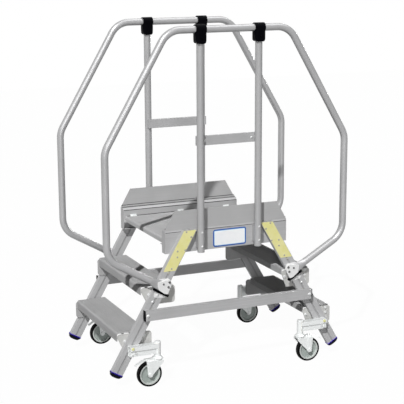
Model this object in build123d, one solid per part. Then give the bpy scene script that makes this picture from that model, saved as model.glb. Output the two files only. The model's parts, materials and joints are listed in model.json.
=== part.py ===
from build123d import *
import math
import os

# Double-sided platform ladder on swivel castors. Millimetres.
# X runs along the climb, Y across it and Z up; the near side is -Y.
# The wheels touch the floor at z = 0 and the middle of the deck is above the origin.
# Every piece of a corner is drawn at the right near corner and reflected to the others.

# Ladder layout
slope_deg = 60.0
deck_z = 704.0
step_rise = 216.0
rung_count = 2
stile_line_x = 638.0
nose_lead = 101.0

# Stiles
stile_width = 60.0
stile_thick = 25.0
stile_inner_y = 305.0
stile_wall = 3.0
stile_web = 16.0
groove_width = 8.0
groove_depth = 3.0
stile_low_z = 80.0
plug_length = 30.0
plug_fit = 0.3

# Foot caps
foot_lip = 1.5
foot_thick = 17.0
foot_long_round = 14.0
foot_short_round = 8.0

# Treads
tread_depth = 152.0
tread_drop = 42.0
tread_back_drop = 30.0
tread_wall = 4.0
tread_rib = 3.0
tread_rib_drop = 16.0
tread_rib_shares = (0.25, 0.5, 0.75)
nose_round = 10.0

# End plates of the treads
plate_thick = 6.0
plate_front = 6.0
plate_back = 26.0
plate_below_top = 8.0
plate_height = 87.0
plate_front_cut = 43.0
plate_back_trim = 21.0
plate_back_cut = 31.0
plate_top_round = 14.0
plate_low_round = 15.0

# Side beams
beam_half_x = 328.0
beam_depth = 40.0
beam_height = 112.0
curb_height = 44.0
beam_wall = 3.0
beam_end = 3.0
shoulder_drop = 8.0
shoulder_lean = 2.0
seam_height = 2.5
seam_depth = 1.2
inner_chamfer_drop = 11.0
inner_chamfer_run = 10.0
ledge_depth = 20.0

# Deck
deck_inset = 10.0
deck_drop = 26.0
deck_wall = 4.0
deck_rib = 3.0
deck_rib_shares = (-0.75, -0.5, -0.25, 0.0, 0.25, 0.5, 0.75)

# Toe boards
toe_height = 94.0
toe_slant = 53.0
toe_thick = 4.0
toe_round = 5.0
toe_lip_run = 12.0
toe_lip_height = 9.0

# Handrails
tube_radius = 17.5
guard_height = 1000.0
rail_top_x = 316.0
rail_side_x = 635.5
rail_rake_deg = 59.6
rail_elbow_drop = 56.0
rail_bend = 110.0
rail_drop_deg = 30.0
tab_half = 33.0
tab_taper = 40.0
tab_half_thick = 6.0
tab_long_half = 24.0
tab_short_half = 7.0

# Posts
post_stile_gap = 0.5
post_hang = 1.0
post_gap = 0.5
post_wall = 2.0
post_bore_depth = 45.0
saddle_width = 30.0
saddle_low = 19.0
saddle_height = 80.0
saddle_bite = 6.0

# Clamps where the posts meet the top rail
clamp_length = 60.0
clamp_ring_length = 52.0
clamp_wall = 6.0
clamp_drop = 66.0
clamp_taper = 5.0
clamp_low_round = 15.0
clamp_plan_round = 18.0
clamp_fit = 0.3

# Mid rails
mid_above_deck = 472.0
mid_height = 45.0
mid_thick = 20.0
mid_bite = 4.0
mid_overhang = 11.0
mid_fit = 0.3

# Cross braces
brace_low_z = 329.0
brace_height = 50.0
brace_depth = 25.0
brace_wall = 3.0
brace_reach = 17.5
cap_thick = 4.0

# Wheels
wheel_radius = 62.5
wheel_trail = 45.0
tyre_half_width = 14.0
tyre_depth = 8.5
tyre_side_drop = 5.0
tyre_side_run = 1.5
tyre_crown_drop = 1.5
tyre_crown_run = 6.0
tyre_fit = 0.2
rim_inset = 1.0
rim_wall = 8.0
web_half_width = 4.0
web_blend = 4.0
hub_radius = 12.0
hub_gap = 1.0
axle_radius = 5.0
axle_fit = 0.05

# Castor forks
crown_gap = 5.3
crown_thick = 6.0
crown_back = 24.0
crown_front = 64.0
side_gap = 5.0
leg_thick = 3.0
leg_back_low = 15.0
leg_front_low = 16.0
bend_round = 6.0
axle_eye_radius = 13.0
rib_radius = 10.0
rib_thick = 2.0
axle_head_radius = 8.0
axle_head_thick = 5.0
pedal_reach = 53.0
pedal_drop = 24.0
pedal_bulge = 5.0
pedal_thick = 3.0
pedal_half_width = 11.0
pin_radius = 6.0
pin_fit = 0.05
pin_length = 48.0
pin_end_gap = 5.0

# Castor arms
arm_reach = 7.5
arm_length = 146.0
arm_depth = 36.0
arm_height = 50.0
arm_step = 29.0
arm_set_back = 6.0
arm_wall = 3.0
arm_lift = 16.0
sleeve_radius = 16.0
sleeve_rise = 9.0
sleeve_chamfer = 2.0
head_gap = 0.5
head_height = 10.0
head_radius = 27.0
head_rim = 4.0
head_neck_radius = 20.0

# Heights and places that follow from the sizes above
slope = math.radians(slope_deg)
up_x = -math.cos(slope)
up_z = math.sin(slope)
stile_outer_y = stile_inner_y + stile_thick
beam_top_z = deck_z + curb_height
beam_low_z = beam_top_z - beam_height
ledge_z = deck_z - deck_drop
deck_half_x = beam_half_x - deck_inset
deck_half_y = stile_inner_y - beam_depth
rail_y = stile_outer_y + tab_half_thick
rail_top_z = deck_z + guard_height
rail_knee_z = rail_top_z - (rail_side_x - rail_top_x) * math.tan(math.radians(rail_rake_deg))
rail_elbow_z = deck_z - rail_elbow_drop
mid_z = deck_z + mid_above_deck
brace_mid_z = brace_low_z + brace_height / 2
fork_top_z = 2 * wheel_radius + crown_gap + crown_thick
crown_low_z = fork_top_z - crown_thick
head_low_z = fork_top_z + head_gap
sleeve_low_z = head_low_z + head_height
arm_low_z = sleeve_low_z + arm_lift
arm_high_z = arm_low_z + arm_height
castor_y = stile_outer_y + arm_depth / 2
leg_inner = tyre_half_width + side_gap
leg_outer = leg_inner + leg_thick
sides = (("near", -1), ("far", 1))
ends = (("left", -1), ("right", 1))


def stile_x(z):
    """Where the centre line of a stile lies at height z."""
    return stile_line_x - z / math.tan(slope)


def nose_x(z):
    """Where the front of a tread at height z lies."""
    return stile_x(z) + nose_lead


post_x = stile_x(beam_top_z) - stile_width / up_z / 2 - tube_radius - post_stile_gap
brace_half_x = stile_x(brace_mid_z) + brace_reach
arm_outer_x = stile_x(arm_low_z + arm_height / 2) + arm_reach
stem_x = arm_outer_x - arm_length
wheel_x = stem_x + wheel_trail


def at_side(shape, side):
    """A shape drawn on the near side, moved by reflection to the given side."""
    if side < 0:
        return shape
    return mirror(shape, about=Plane.XZ)


def at_end(shape, end):
    """A shape drawn at the right end, moved by reflection to the given end."""
    if end > 0:
        return shape
    return mirror(shape, about=Plane.YZ)


def block(x0, x1, y0, y1, z0, z1):
    """A box between two corners."""
    middle = Pos((x0 + x1) / 2, (y0 + y1) / 2, (z0 + z1) / 2)
    return middle * Box(abs(x1 - x0), abs(y1 - y0), abs(z1 - z0))


def patch(u0, u1, v0, v1):
    """A rectangle between two corners of a sketch."""
    return Pos((u0 + u1) / 2, (v0 + v1) / 2) * Rectangle(abs(u1 - u0), abs(v1 - v0))


def outline(points):
    """A closed polygon as a face."""
    return make_face(Polyline(*points, close=True))


def round_at(sketch, u, v, radius):
    """Round the corner of a sketch that lies nearest to a point."""
    corner = sketch.vertices().sort_by_distance((u, v, 0))[0]
    return fillet(corner, radius)


def across(sketch, y0, y1):
    """A sketch of (x, z) points given its width from y0 to y1."""
    return extrude(Plane.XZ.offset(-y1) * sketch, amount=y1 - y0)


def along(sketch, x0, x1):
    """A sketch of (y, z) points given its length from x0 to x1."""
    return extrude(Plane.YZ.offset(x0) * sketch, amount=x1 - x0)


def upright(x, y, z0, z1, radius):
    """A vertical cylinder."""
    return Pos(x, y, (z0 + z1) / 2) * Cylinder(radius, z1 - z0)


def stile_foot_plane():
    """Plane of the square lower end, its normal up the stile."""
    x = stile_x(stile_low_z)
    y = -(stile_inner_y + stile_outer_y) / 2
    return Plane(origin=(x, y, stile_low_z), x_dir=(up_z, 0, -up_x), z_dir=(up_x, 0, up_z))


def stile_chambers(gap):
    """The two hollow chambers of the stile section, shrunk by a gap."""
    width = (stile_width - stile_web) / 2 - stile_wall
    shift = (stile_web + width) / 2
    cell = Rectangle(width - 2 * gap, stile_thick - 2 * stile_wall - 2 * gap)
    return Pos(-shift, 0) * cell + Pos(shift, 0) * cell


def stile():
    """Right near stile: two-chamber section with a groove in both faces, top cut level."""
    section = Rectangle(stile_width, stile_thick) - stile_chambers(0)
    for face in (-1, 1):
        middle = face * (stile_thick - groove_depth) / 2
        section -= Pos(0, middle) * Rectangle(groove_width, groove_depth)
    reach = (beam_top_z - stile_low_z) / up_z + stile_width
    bar = extrude(stile_foot_plane() * section, amount=reach)
    return split(bar, bisect_by=Plane(origin=(0, 0, beam_top_z)), keep=Keep.BOTTOM)


def foot():
    """Foot cap: pad rounded both ways under the stile, with plugs in its chambers."""
    half_long = stile_width / 2 + foot_lip
    half_short = stile_thick / 2 + foot_lip
    pad = None
    for half, other, radius, turn in ((half_long, half_short, foot_long_round, 0),
                                      (half_short, half_long, foot_short_round, 90)):
        face = patch(-half, half, -foot_thick, 0)
        face = round_at(face, -half, -foot_thick, radius)
        face = round_at(face, half, -foot_thick, radius)
        slab = Rot(0, 0, turn) * extrude(Plane.XZ.offset(-other) * face, amount=2 * other)
        pad = slab if pad is None else pad & slab
    plugs = extrude(stile_chambers(plug_fit), amount=plug_length)
    return stile_foot_plane().location * (pad + plugs)


def board_section(back, front, top_z, drop, wall):
    """Top plate of a step or deck with a rounded drop at its front edge."""
    section = patch(back, front, top_z - wall, top_z)
    section += patch(front - wall, front, top_z - drop, top_z)
    section = round_at(section, front, top_z, nose_round)
    return round_at(section, front - wall, top_z - wall, nose_round - wall)


def tread(top_z):
    """Right tread: rounded front drop, a lower back drop and ribs below."""
    front = nose_x(top_z)
    back = front - tread_depth
    half_y = stile_inner_y - plate_thick
    section = board_section(back, front, top_z, tread_drop, tread_wall)
    section += patch(back, back + tread_wall, top_z - tread_back_drop, top_z)
    for share in tread_rib_shares:
        x = back + share * tread_depth
        section += patch(x, x + tread_rib, top_z - tread_rib_drop, top_z)
    return across(section, -half_y, half_y)


def end_plate(top_z, front_cut):
    """Near end plate of a right tread, its front or its back edge cut on the slant."""
    front = nose_x(top_z) + plate_front
    back = nose_x(top_z) - tread_depth - plate_back
    low_front = front - plate_front_cut
    low_back = back
    if not front_cut:
        low_front = front
        back += plate_back_trim
        low_back = back + plate_back_cut
    high = top_z - plate_below_top
    low = high - plate_height
    face = outline(((low_back, low), (low_front, low), (front, high), (back, high)))
    plain_low = low_back if front_cut else low_front
    for x, z, radius in ((plain_low, low, plate_low_round), (front, high, plate_top_round),
                         (back, high, plate_top_round)):
        face = round_at(face, x, z, radius)
    return across(face, -stile_inner_y, plate_thick - stile_inner_y)


def deck():
    """Deck between the beams: rounded drops at both ends and ribs down to the ledges."""
    half = board_section(0, deck_half_x, deck_z, deck_drop, deck_wall)
    section = half + mirror(half, about=Plane.YZ)
    for share in deck_rib_shares:
        x = share * deck_half_x
        section += patch(x - deck_rib / 2, x + deck_rib / 2, ledge_z, deck_z)
    return across(section, -deck_half_y, deck_half_y)


def beam():
    """Near side beam: extruded section with closed ends and a ledge that carries the deck."""
    outer = -stile_inner_y
    inner = -deck_half_y
    skin = outline((
        (outer, beam_low_z),
        (inner, beam_low_z),
        (inner, beam_top_z - inner_chamfer_drop),
        (inner - inner_chamfer_run, beam_top_z),
        (outer + shoulder_lean, beam_top_z),
        (outer, beam_top_z - shoulder_drop),
    ))
    seam_z = beam_top_z - shoulder_drop - seam_height
    section = skin - offset(skin, amount=-beam_wall, kind=Kind.INTERSECTION)
    section -= patch(outer, outer + seam_depth, seam_z, seam_z + seam_height)
    section -= patch(inner - beam_wall, inner, beam_low_z + beam_wall, ledge_z - beam_wall)
    section += patch(inner - beam_wall, inner + ledge_depth, ledge_z - beam_wall, ledge_z)
    bar = along(section, -beam_half_x, beam_half_x)
    bar += along(skin, -beam_half_x, beam_end - beam_half_x)
    return bar + along(skin, beam_half_x - beam_end, beam_half_x)


def toe_board():
    """Near toe board: upright plate with sloping ends and a lip at its foot, on the beam."""
    high = beam_top_z + toe_height
    half_top = beam_half_x - toe_slant
    face = outline((
        (-beam_half_x, beam_top_z),
        (beam_half_x, beam_top_z),
        (half_top, high),
        (-half_top, high),
    ))
    for x in (-half_top, half_top):
        face = round_at(face, x, high, toe_round)
    y0 = shoulder_lean - stile_inner_y
    y1 = y0 + toe_thick
    lip = block(-beam_half_x, beam_half_x, y0, y1 + toe_lip_run, beam_top_z, beam_top_z + toe_lip_height)
    cut = across(face, y0, y1 + toe_lip_run)
    return across(face, y0, y1) + (lip & cut)


def tab_middle():
    """Where the rail's centre line crosses the stile's, as (x, z)."""
    fall = math.tan(math.radians(rail_drop_deg))
    rise = math.tan(slope)
    x = (rise * stile_line_x - rail_elbow_z + fall * rail_side_x) / (rise + fall)
    return x, rail_elbow_z - fall * (rail_side_x - x)


def rail_end():
    """Right end of the handrail: tube flattened into a tab on the stile."""
    x, z = tab_middle()
    drop = math.radians(rail_drop_deg)
    out_x = math.cos(drop)
    out_z = math.sin(drop)
    far = tab_half + tab_taper
    tube = Plane(origin=(x + far * out_x, -rail_y, z + far * out_z),
                 x_dir=(out_z, 0, -out_x), z_dir=(-out_x, 0, -out_z))
    flat = Plane(origin=(x + tab_half * out_x, -rail_y, z + tab_half * out_z),
                 x_dir=(out_z, 0, -out_x), z_dir=(-out_x, 0, -out_z))
    oval = flat * Ellipse(tab_long_half, tab_short_half)
    taper = loft([(tube * Circle(tube_radius)).face(), oval.face()])
    tab = extrude(oval, amount=2 * tab_half)
    slab = block(0, rail_side_x, -rail_y - tab_half_thick, -rail_y + tab_half_thick, 0, rail_elbow_z)
    return taper + (tab & slab)


def handrail():
    """Near handrail: one bent tube with a flattened tab at each end."""
    x, z = tab_middle()
    drop = math.radians(rail_drop_deg)
    far = tab_half + tab_taper
    start_x = x + far * math.cos(drop)
    start_z = z + far * math.sin(drop)
    corners = (
        (-start_x, start_z),
        (-rail_side_x, rail_elbow_z),
        (-rail_side_x, rail_knee_z),
        (-rail_top_x, rail_top_z),
        (rail_top_x, rail_top_z),
        (rail_side_x, rail_knee_z),
        (rail_side_x, rail_elbow_z),
        (start_x, start_z),
    )
    path = FilletPolyline(*[(a, -rail_y, b) for a, b in corners], radius=rail_bend)
    ring = Plane(origin=path @ 0, z_dir=path % 0) * Circle(tube_radius)
    tab = rail_end()
    return sweep(ring, path=path) + tab + at_end(tab, -1)


def post():
    """Right near post with the saddle that holds it off the beam."""
    low = beam_low_z - post_hang
    body = upright(post_x, -rail_y, low, rail_top_z - tube_radius - post_gap, tube_radius)
    saddle_z = beam_low_z + saddle_low
    body += block(post_x - saddle_width / 2, post_x + saddle_width / 2,
                  tube_radius - rail_y - saddle_bite, -stile_inner_y,
                  saddle_z, saddle_z + saddle_height)
    return body - upright(post_x, -rail_y, low, low + post_bore_depth, tube_radius - post_wall)


def clamp():
    """Right near clamp: tapered socket over the post's top, with a ring around the rail."""
    radius = tube_radius + clamp_wall
    half = clamp_length / 2
    low_half = half - clamp_taper
    low_z = rail_top_z - clamp_drop
    front = outline((
        (post_x - low_half, low_z),
        (post_x + low_half, low_z),
        (post_x + half, rail_top_z - tube_radius),
        (post_x + half, rail_top_z),
        (post_x - half, rail_top_z),
        (post_x - half, rail_top_z - tube_radius),
    ))
    for x in (post_x - low_half, post_x + low_half):
        front = round_at(front, x, low_z, clamp_low_round)
    plan = RectangleRounded(clamp_length, 2 * radius, clamp_plan_round)
    socket = extrude(Pos(post_x, -rail_y, low_z) * plan, amount=clamp_drop)
    lying = Pos(post_x, -rail_y, rail_top_z) * Rot(0, 90, 0)
    body = across(front, -rail_y - radius, -rail_y + radius) & socket
    body += lying * Cylinder(radius, clamp_ring_length)
    body -= lying * Cylinder(tube_radius + clamp_fit, 2 * clamp_length)
    return body - upright(post_x, -rail_y, low_z, rail_top_z, tube_radius + clamp_fit)


def mid_rail():
    """Near mid rail: flat bar notched against the inner side of both posts."""
    y0 = -rail_y + tube_radius - mid_bite
    half_x = post_x + mid_overhang
    bar = block(-half_x, half_x, y0, y0 + mid_thick, mid_z - mid_height / 2, mid_z + mid_height / 2)
    for end in (-1, 1):
        bar -= upright(end * post_x, -rail_y, mid_z - mid_height, mid_z + mid_height,
                       tube_radius + mid_fit)
    return bar


def brace_section(gap):
    """Section of a cross brace, or what fits inside it with a gap all round."""
    outer = -stile_outer_y - brace_depth
    high = brace_low_z + brace_height
    return patch(outer + gap, -stile_outer_y - gap, brace_low_z + gap, high - gap)


def brace():
    """Near cross brace: box tube on the outer faces of two stiles."""
    return along(brace_section(0) - brace_section(brace_wall), -brace_half_x, brace_half_x)


def brace_cap():
    """Right end cap of the near brace, its plug inside the tube."""
    plug = along(brace_section(brace_wall + plug_fit), brace_half_x - plug_length, brace_half_x)
    return plug + along(brace_section(0), brace_half_x, brace_half_x + cap_thick)


def castor_arm():
    """Right near arm: stepped box tube on the stile, with the sleeve and bearing head."""
    outer = -stile_outer_y - arm_depth
    section = patch(outer, -stile_outer_y, arm_low_z + arm_step, arm_high_z)
    section += patch(outer + arm_set_back, -stile_outer_y, arm_low_z, arm_low_z + arm_step)
    hollow = offset(section, amount=-arm_wall, kind=Kind.INTERSECTION)
    body = along(section, stem_x, arm_outer_x) - along(hollow, stem_x + sleeve_radius, arm_outer_x)
    profile = outline((
        (0, head_low_z),
        (head_radius, head_low_z),
        (head_radius, head_low_z + head_rim),
        (head_neck_radius, sleeve_low_z),
        (sleeve_radius, sleeve_low_z),
        (sleeve_radius, arm_high_z + sleeve_rise - sleeve_chamfer),
        (sleeve_radius - sleeve_chamfer, arm_high_z + sleeve_rise),
        (0, arm_high_z + sleeve_rise),
    ))
    body += Pos(stem_x, -castor_y, 0) * revolve(Plane.XZ * profile, axis=Axis.Z)
    top = crown_low_z + crown_thick + pin_length + pin_end_gap
    return body - upright(stem_x, -castor_y, head_low_z, top, pin_radius + pin_fit)


def fork_side():
    """Side outline of the fork: crown, tapering legs and axle eyes."""
    back = stem_x - crown_back
    front = stem_x + crown_front
    face = outline((
        (back, fork_top_z),
        (back, fork_top_z - leg_back_low),
        (wheel_x - axle_eye_radius, wheel_radius),
        (wheel_x + axle_eye_radius, wheel_radius),
        (front, fork_top_z - leg_front_low),
        (front, fork_top_z),
    ))
    for x in (back, front):
        face = round_at(face, x, fork_top_z, bend_round)
    return face + Pos(wheel_x, wheel_radius) * Circle(axle_eye_radius)


def fork_bend():
    """Front outline of the fork: one plate bent down on both sides of the wheel."""
    low = wheel_radius - axle_eye_radius
    face = patch(-leg_outer, leg_outer, low, fork_top_z)
    gap = patch(-leg_inner, leg_inner, low, crown_low_z)
    for side in (-1, 1):
        face = round_at(face, side * leg_outer, fork_top_z, bend_round)
        gap = round_at(gap, side * leg_inner, crown_low_z, bend_round - leg_thick)
    return Pos(-castor_y, 0) * (face - gap)


def pedal():
    """Side outline of the brake pedal: a curved plate from the crown's front."""
    root_x = stem_x + crown_front - crown_thick
    tip_x = stem_x + crown_front + pedal_reach
    tip_z = fork_top_z - pedal_drop
    middle_x = (root_x + tip_x) / 2
    middle_z = (fork_top_z + tip_z) / 2 + pedal_bulge
    upper = ThreePointArc((root_x, fork_top_z), (middle_x, middle_z), (tip_x, tip_z))
    lower = ThreePointArc((tip_x, tip_z - pedal_thick), (middle_x, middle_z - pedal_thick),
                          (root_x, fork_top_z - pedal_thick))
    tip = Line((tip_x, tip_z), (tip_x, tip_z - pedal_thick))
    root = Line((root_x, fork_top_z - pedal_thick), (root_x, fork_top_z))
    return make_face([upper, tip, lower, root])


def axle_rod(half_length, radius):
    """A rod along the axle, centred on the wheel."""
    return across(Pos(wheel_x, wheel_radius) * Circle(radius),
                  -castor_y - half_length, -castor_y + half_length)


def fork():
    """Right near fork: bent plate with ribbed legs, kingpin, axle and brake pedal."""
    front = stem_x + crown_front
    body = across(fork_side(), -castor_y - leg_outer, -castor_y + leg_outer)
    body &= along(fork_bend(), stem_x - crown_back, front)
    rib = patch(wheel_x - rib_radius, wheel_x + rib_radius, wheel_radius, fork_top_z - bend_round)
    rib += Pos(wheel_x, wheel_radius) * Circle(rib_radius)
    reach = leg_outer + rib_thick
    for y0 in (-castor_y - reach, -castor_y + leg_outer):
        body += across(rib, y0, y0 + rib_thick)
    body += upright(stem_x, -castor_y, crown_low_z, fork_top_z + pin_length, pin_radius)
    body += axle_rod(reach, axle_radius)
    heads = axle_rod(reach + axle_head_thick, axle_head_radius)
    body += heads - axle_rod(reach, axle_head_radius)
    return body + across(pedal(), -castor_y - pedal_half_width, -castor_y + pedal_half_width)


def turned(half_profile):
    """Revolve (radius, width) points, given for one half, about the right near axle."""
    other_half = [(radius, -width) for radius, width in reversed(half_profile)]
    middle = Plane(origin=(wheel_x, -castor_y, wheel_radius), x_dir=(0, 0, 1), z_dir=(-1, 0, 0))
    axle = Axis((wheel_x, -castor_y, wheel_radius), (0, 1, 0))
    return revolve(middle * outline(list(half_profile) + other_half), axis=axle)


def rim():
    """Wheel centre: hub, dished web and rim."""
    bore = axle_radius + axle_fit
    outer = wheel_radius - tyre_depth
    wall = outer - rim_wall
    half_width = tyre_half_width - rim_inset
    return turned((
        (bore, leg_inner - hub_gap),
        (hub_radius, leg_inner - hub_gap),
        (hub_radius + web_blend, web_half_width),
        (wall - web_blend, web_half_width),
        (wall, half_width),
        (outer, half_width),
    ))


def tyre():
    """Tyre ring with a crowned tread and sloping shoulders."""
    return turned((
        (wheel_radius - tyre_depth + tyre_fit, tyre_half_width),
        (wheel_radius - tyre_side_drop, tyre_half_width),
        (wheel_radius - tyre_crown_drop, tyre_half_width - tyre_side_run),
        (wheel_radius, tyre_half_width - tyre_crown_run),
    ))


def save(shape, name):
    """Write one node."""
    solids = shape.solids()
    assert len(solids) == 1, name
    export_step(solids[0], "parts/" + name + ".step")


os.makedirs("parts", exist_ok=True)

save(deck(), "deck")

single = (
    ("beam", beam()),
    ("toe_board", toe_board()),
    ("handrail", handrail()),
    ("mid_rail", mid_rail()),
    ("brace", brace()),
)
for name, shape in single:
    for side_name, side in sides:
        save(at_side(shape, side), name + "_" + side_name)

corner = (
    ("stile", stile()),
    ("foot", foot()),
    ("post", post()),
    ("clamp", clamp()),
    ("brace_cap", brace_cap()),
    ("castor_arm", castor_arm()),
    ("fork", fork()),
    ("rim", rim()),
    ("tyre", tyre()),
)
for name, shape in corner:
    for side_name, side in sides:
        for end_name, end in ends:
            place = at_end(at_side(shape, side), end)
            save(place, name + "_" + side_name + "_" + end_name)

for step in range(1, rung_count + 1):
    top_z = deck_z - (rung_count + 1 - step) * step_rise
    board = tread(top_z)
    for end_name, end in ends:
        label = str(step) + "_" + end_name
        save(at_end(board, end), "tread_" + label)
        for side_name, side in sides:
            plate = end_plate(top_z, side == end)
            place = at_end(at_side(plate, side), end)
            save(place, "end_plate_" + label + "_" + side_name)
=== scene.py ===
import json
import math

import bmesh
import bpy
from mathutils import Matrix, Vector


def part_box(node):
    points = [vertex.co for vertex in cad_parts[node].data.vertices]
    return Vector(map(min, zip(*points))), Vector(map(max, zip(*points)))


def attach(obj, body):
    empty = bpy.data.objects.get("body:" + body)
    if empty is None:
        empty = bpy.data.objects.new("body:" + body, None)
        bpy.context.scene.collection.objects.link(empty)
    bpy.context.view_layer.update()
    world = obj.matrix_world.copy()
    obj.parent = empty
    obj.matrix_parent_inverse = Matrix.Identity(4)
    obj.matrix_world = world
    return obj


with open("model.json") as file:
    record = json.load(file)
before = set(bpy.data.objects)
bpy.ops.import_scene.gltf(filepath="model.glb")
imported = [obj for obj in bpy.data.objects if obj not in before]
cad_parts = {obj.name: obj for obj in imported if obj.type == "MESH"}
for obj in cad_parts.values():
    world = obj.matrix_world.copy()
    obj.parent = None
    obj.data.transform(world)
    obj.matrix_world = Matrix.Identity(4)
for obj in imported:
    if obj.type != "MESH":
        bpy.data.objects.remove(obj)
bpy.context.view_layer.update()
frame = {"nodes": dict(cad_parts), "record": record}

# Visual model of a double-sided platform ladder on swivel castors. Metres.
# X runs along the climb, Y across it and Z up; the near side is -Y.
# A detail is placed at the right near corner and reflected to the others.

nodes = frame["nodes"]
sides = (("near", -1), ("far", 1))
ends = (("left", -1), ("right", 1))
corners = [(side + "_" + end, sx, sy) for side, sy in sides for end, sx in ends]

# Places read from the frame

deck_low, deck_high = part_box("deck")
beam_low, beam_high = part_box("beam_near")
toe_low, toe_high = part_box("toe_board_near")
stile_low, stile_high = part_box("stile_near_right")
brace_low, brace_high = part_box("brace_near")
post_low, post_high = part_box("post_near_right")
mid_low, mid_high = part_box("mid_rail_near")
pivots = {joint["name"]: Vector(joint["pos_m"]) for joint in frame["record"]["behaviour"]["joints"]}
stem = pivots["swivel_near_right"]
axle = pivots["spin_near_right"]
stem_out = abs(stem.y)
axle_out = abs(axle.y)
tyre_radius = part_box("tyre_near_right")[1].z - axle.z
pedal_tip_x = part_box("fork_near_right")[1].x
arm_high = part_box("castor_arm_near_right")[1]
rail_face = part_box("handrail_near")[0].y
clamp_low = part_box("clamp_near_right")[0]

slope = math.radians(60)
stile_half = 0.030
stile_face = stile_low.y
stile_inner = stile_high.y
stile_out = abs(stile_face)
stile_middle = abs(stile_face + stile_inner) / 2
stile_end_z = stile_low.z + stile_half * math.cos(slope)
beam_face = beam_low.y
beam_out = abs(beam_face)
beam_depth = 0.040
beam_inner = beam_out - beam_depth
top_z = beam_high.z
line_x = stile_low.x + stile_half / math.sin(slope) + top_z / math.tan(slope)
post_x = (post_low.x + post_high.x) / 2

sleeve_rise = 0.009
sleeve_radius = 0.016
arm_fold = 0.036
arm_depth = 0.050
arm_face = 2 * stem.y - stile_face
arm_high_edge = arm_high.z - sleeve_rise
arm_foot = arm_high_edge - arm_fold
arm_low_edge = arm_high_edge - arm_depth

tab_depth = 0.012
tab_face = stile_face - tab_depth
toe_lip_width = 0.012
toe_lip_height = 0.009
toe_lip_inner = abs(toe_high.y)
toe_inner = toe_lip_inner + toe_lip_width
toe_lip_top = toe_low.z + toe_lip_height


def stile_x(z):
    """Where the centre line of a right stile lies at height z."""
    return line_x - z / math.tan(slope)


# Node trees


def node(tree, kind, sockets=None, **settings):
    """Adds a node with its settings; a socket takes a plain value or another node's output."""
    made = tree.nodes.new(kind)
    for key, value in settings.items():
        setattr(made, key, value)
    for key, value in (sockets or {}).items():
        if isinstance(value, bpy.types.NodeSocket):
            tree.links.new(value, made.inputs[key])
        else:
            made.inputs[key].default_value = value
    return made


def output(tree, kind, sockets=None, **settings):
    """The first output of a new node."""
    return node(tree, kind, sockets, **settings).outputs[0]


def maths(tree, operation, first, second=0.0):
    """One sum on values."""
    return output(tree, "ShaderNodeMath", {0: first, 1: second}, operation=operation)


def vector(tree, x=0.0, y=0.0, z=0.0):
    """Three values joined to one place."""
    return output(tree, "ShaderNodeCombineXYZ", {0: x, 1: y, 2: z})


def axes_of(tree, place):
    """A place, with one output for each axis."""
    return node(tree, "ShaderNodeSeparateXYZ", {0: place}).outputs


def grey(value):
    """A neutral colour."""
    return (value, value, value, 1.0)


def tinted(colour, factor):
    """A colour made lighter or darker."""
    return tuple(min(1.0, channel * factor) for channel in colour[:3]) + (1.0,)


class Finish:
    """One procedural finish: object coordinates, a shader, and calls for what goes between."""

    def __init__(self, name, turn=None):
        self.material = bpy.data.materials.new(name)
        self.material.use_nodes = True
        self.tree = self.material.node_tree
        self.tree.nodes.clear()
        self.shader = node(self.tree, "ShaderNodeBsdfPrincipled")
        node(self.tree, "ShaderNodeOutputMaterial", {0: self.shader.outputs[0]})
        self.plain = node(self.tree, "ShaderNodeTexCoord").outputs["Object"]
        self.place = self.plain
        if turn:
            self.place = self.mapped(Rotation=turn)

    def done(self, colour, rough, relief, **values):
        """Joins three outputs to the shader, sets the values that are the same all over, and ends."""
        for socket, made in (("Base Color", colour), ("Roughness", rough), ("Normal", relief)):
            self.tree.links.new(made, self.shader.inputs[socket])
        for key, value in values.items():
            self.shader.inputs[key.replace("_", " ")].default_value = value
        return self.material

    def mapped(self, **change):
        """The place, turned or stretched."""
        return output(self.tree, "ShaderNodeMapping", {"Vector": self.place, **change})

    def noise(self, pattern, place=None):
        """A noise; its pattern gives scale, detail and roughness."""
        scale, detail, rough = pattern
        sockets = {"Vector": place or self.place, "Scale": scale, "Detail": detail, "Roughness": rough}
        return output(self.tree, "ShaderNodeTexNoise", sockets)

    def cells(self, scale, output, feature="F1"):
        """A pattern of cells."""
        sockets = {"Vector": self.place, "Scale": scale}
        return node(self.tree, "ShaderNodeTexVoronoi", sockets, feature=feature).outputs[output]

    def spread(self, value, span, result=(0.0, 1.0)):
        """A span of a value carried over to a result, and held inside it."""
        sockets = {0: value, 1: span[0], 2: span[1], 3: result[0], 4: result[1]}
        return output(self.tree, "ShaderNodeMapRange", sockets)

    def maths(self, operation, first, second=0.0):
        """One sum on values of this finish."""
        return maths(self.tree, operation, first, second)

    def blend(self, factor, first, second, kind="MIX"):
        """Two colours mixed by a factor."""
        sockets = {0: factor, 6: first, 7: second}
        return node(self.tree, "ShaderNodeMix", sockets, data_type="RGBA", blend_type=kind).outputs[2]

    def bump(self, height, strength, depth, under=None):
        """Relief from a height, over another relief where one is given."""
        sockets = {"Height": height, "Strength": strength, "Distance": depth}
        if under is not None:
            sockets["Normal"] = under
        return output(self.tree, "ShaderNodeBump", sockets)


# Patterns of the finishes: scale, detail and roughness

draw_lines = (1.0, 4.0, 0.6)
metal_cloud = (9.0, 2.0, 0.5)
metal_grain = (700.0, 2.0, 0.6)
metal_scuffs = (46.0, 5.0, 0.7)
zinc_mist = (60.0, 4.0, 0.65)
zinc_grain = (420.0, 3.0, 0.6)
plastic_cloud = (35.0, 3.0, 0.6)
plastic_grain = (1600.0, 2.0, 0.5)
foot_cloud = (50.0, 3.0, 0.6)
foot_grain = (900.0, 3.0, 0.6)
wheel_cloud = (80.0, 3.0, 0.6)
rubber_grain = (750.0, 4.0, 0.65)
film_cloud = (28.0, 4.0, 0.6)
film_scuffs = (120.0, 5.0, 0.75)
film_peel = (500.0, 2.0, 0.5)
weld_ripples = (220.0, 4.0, 0.7)
spangle_scale = 240.0

# Spans of a pattern's value that a finish uses, and depths of relief

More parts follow.
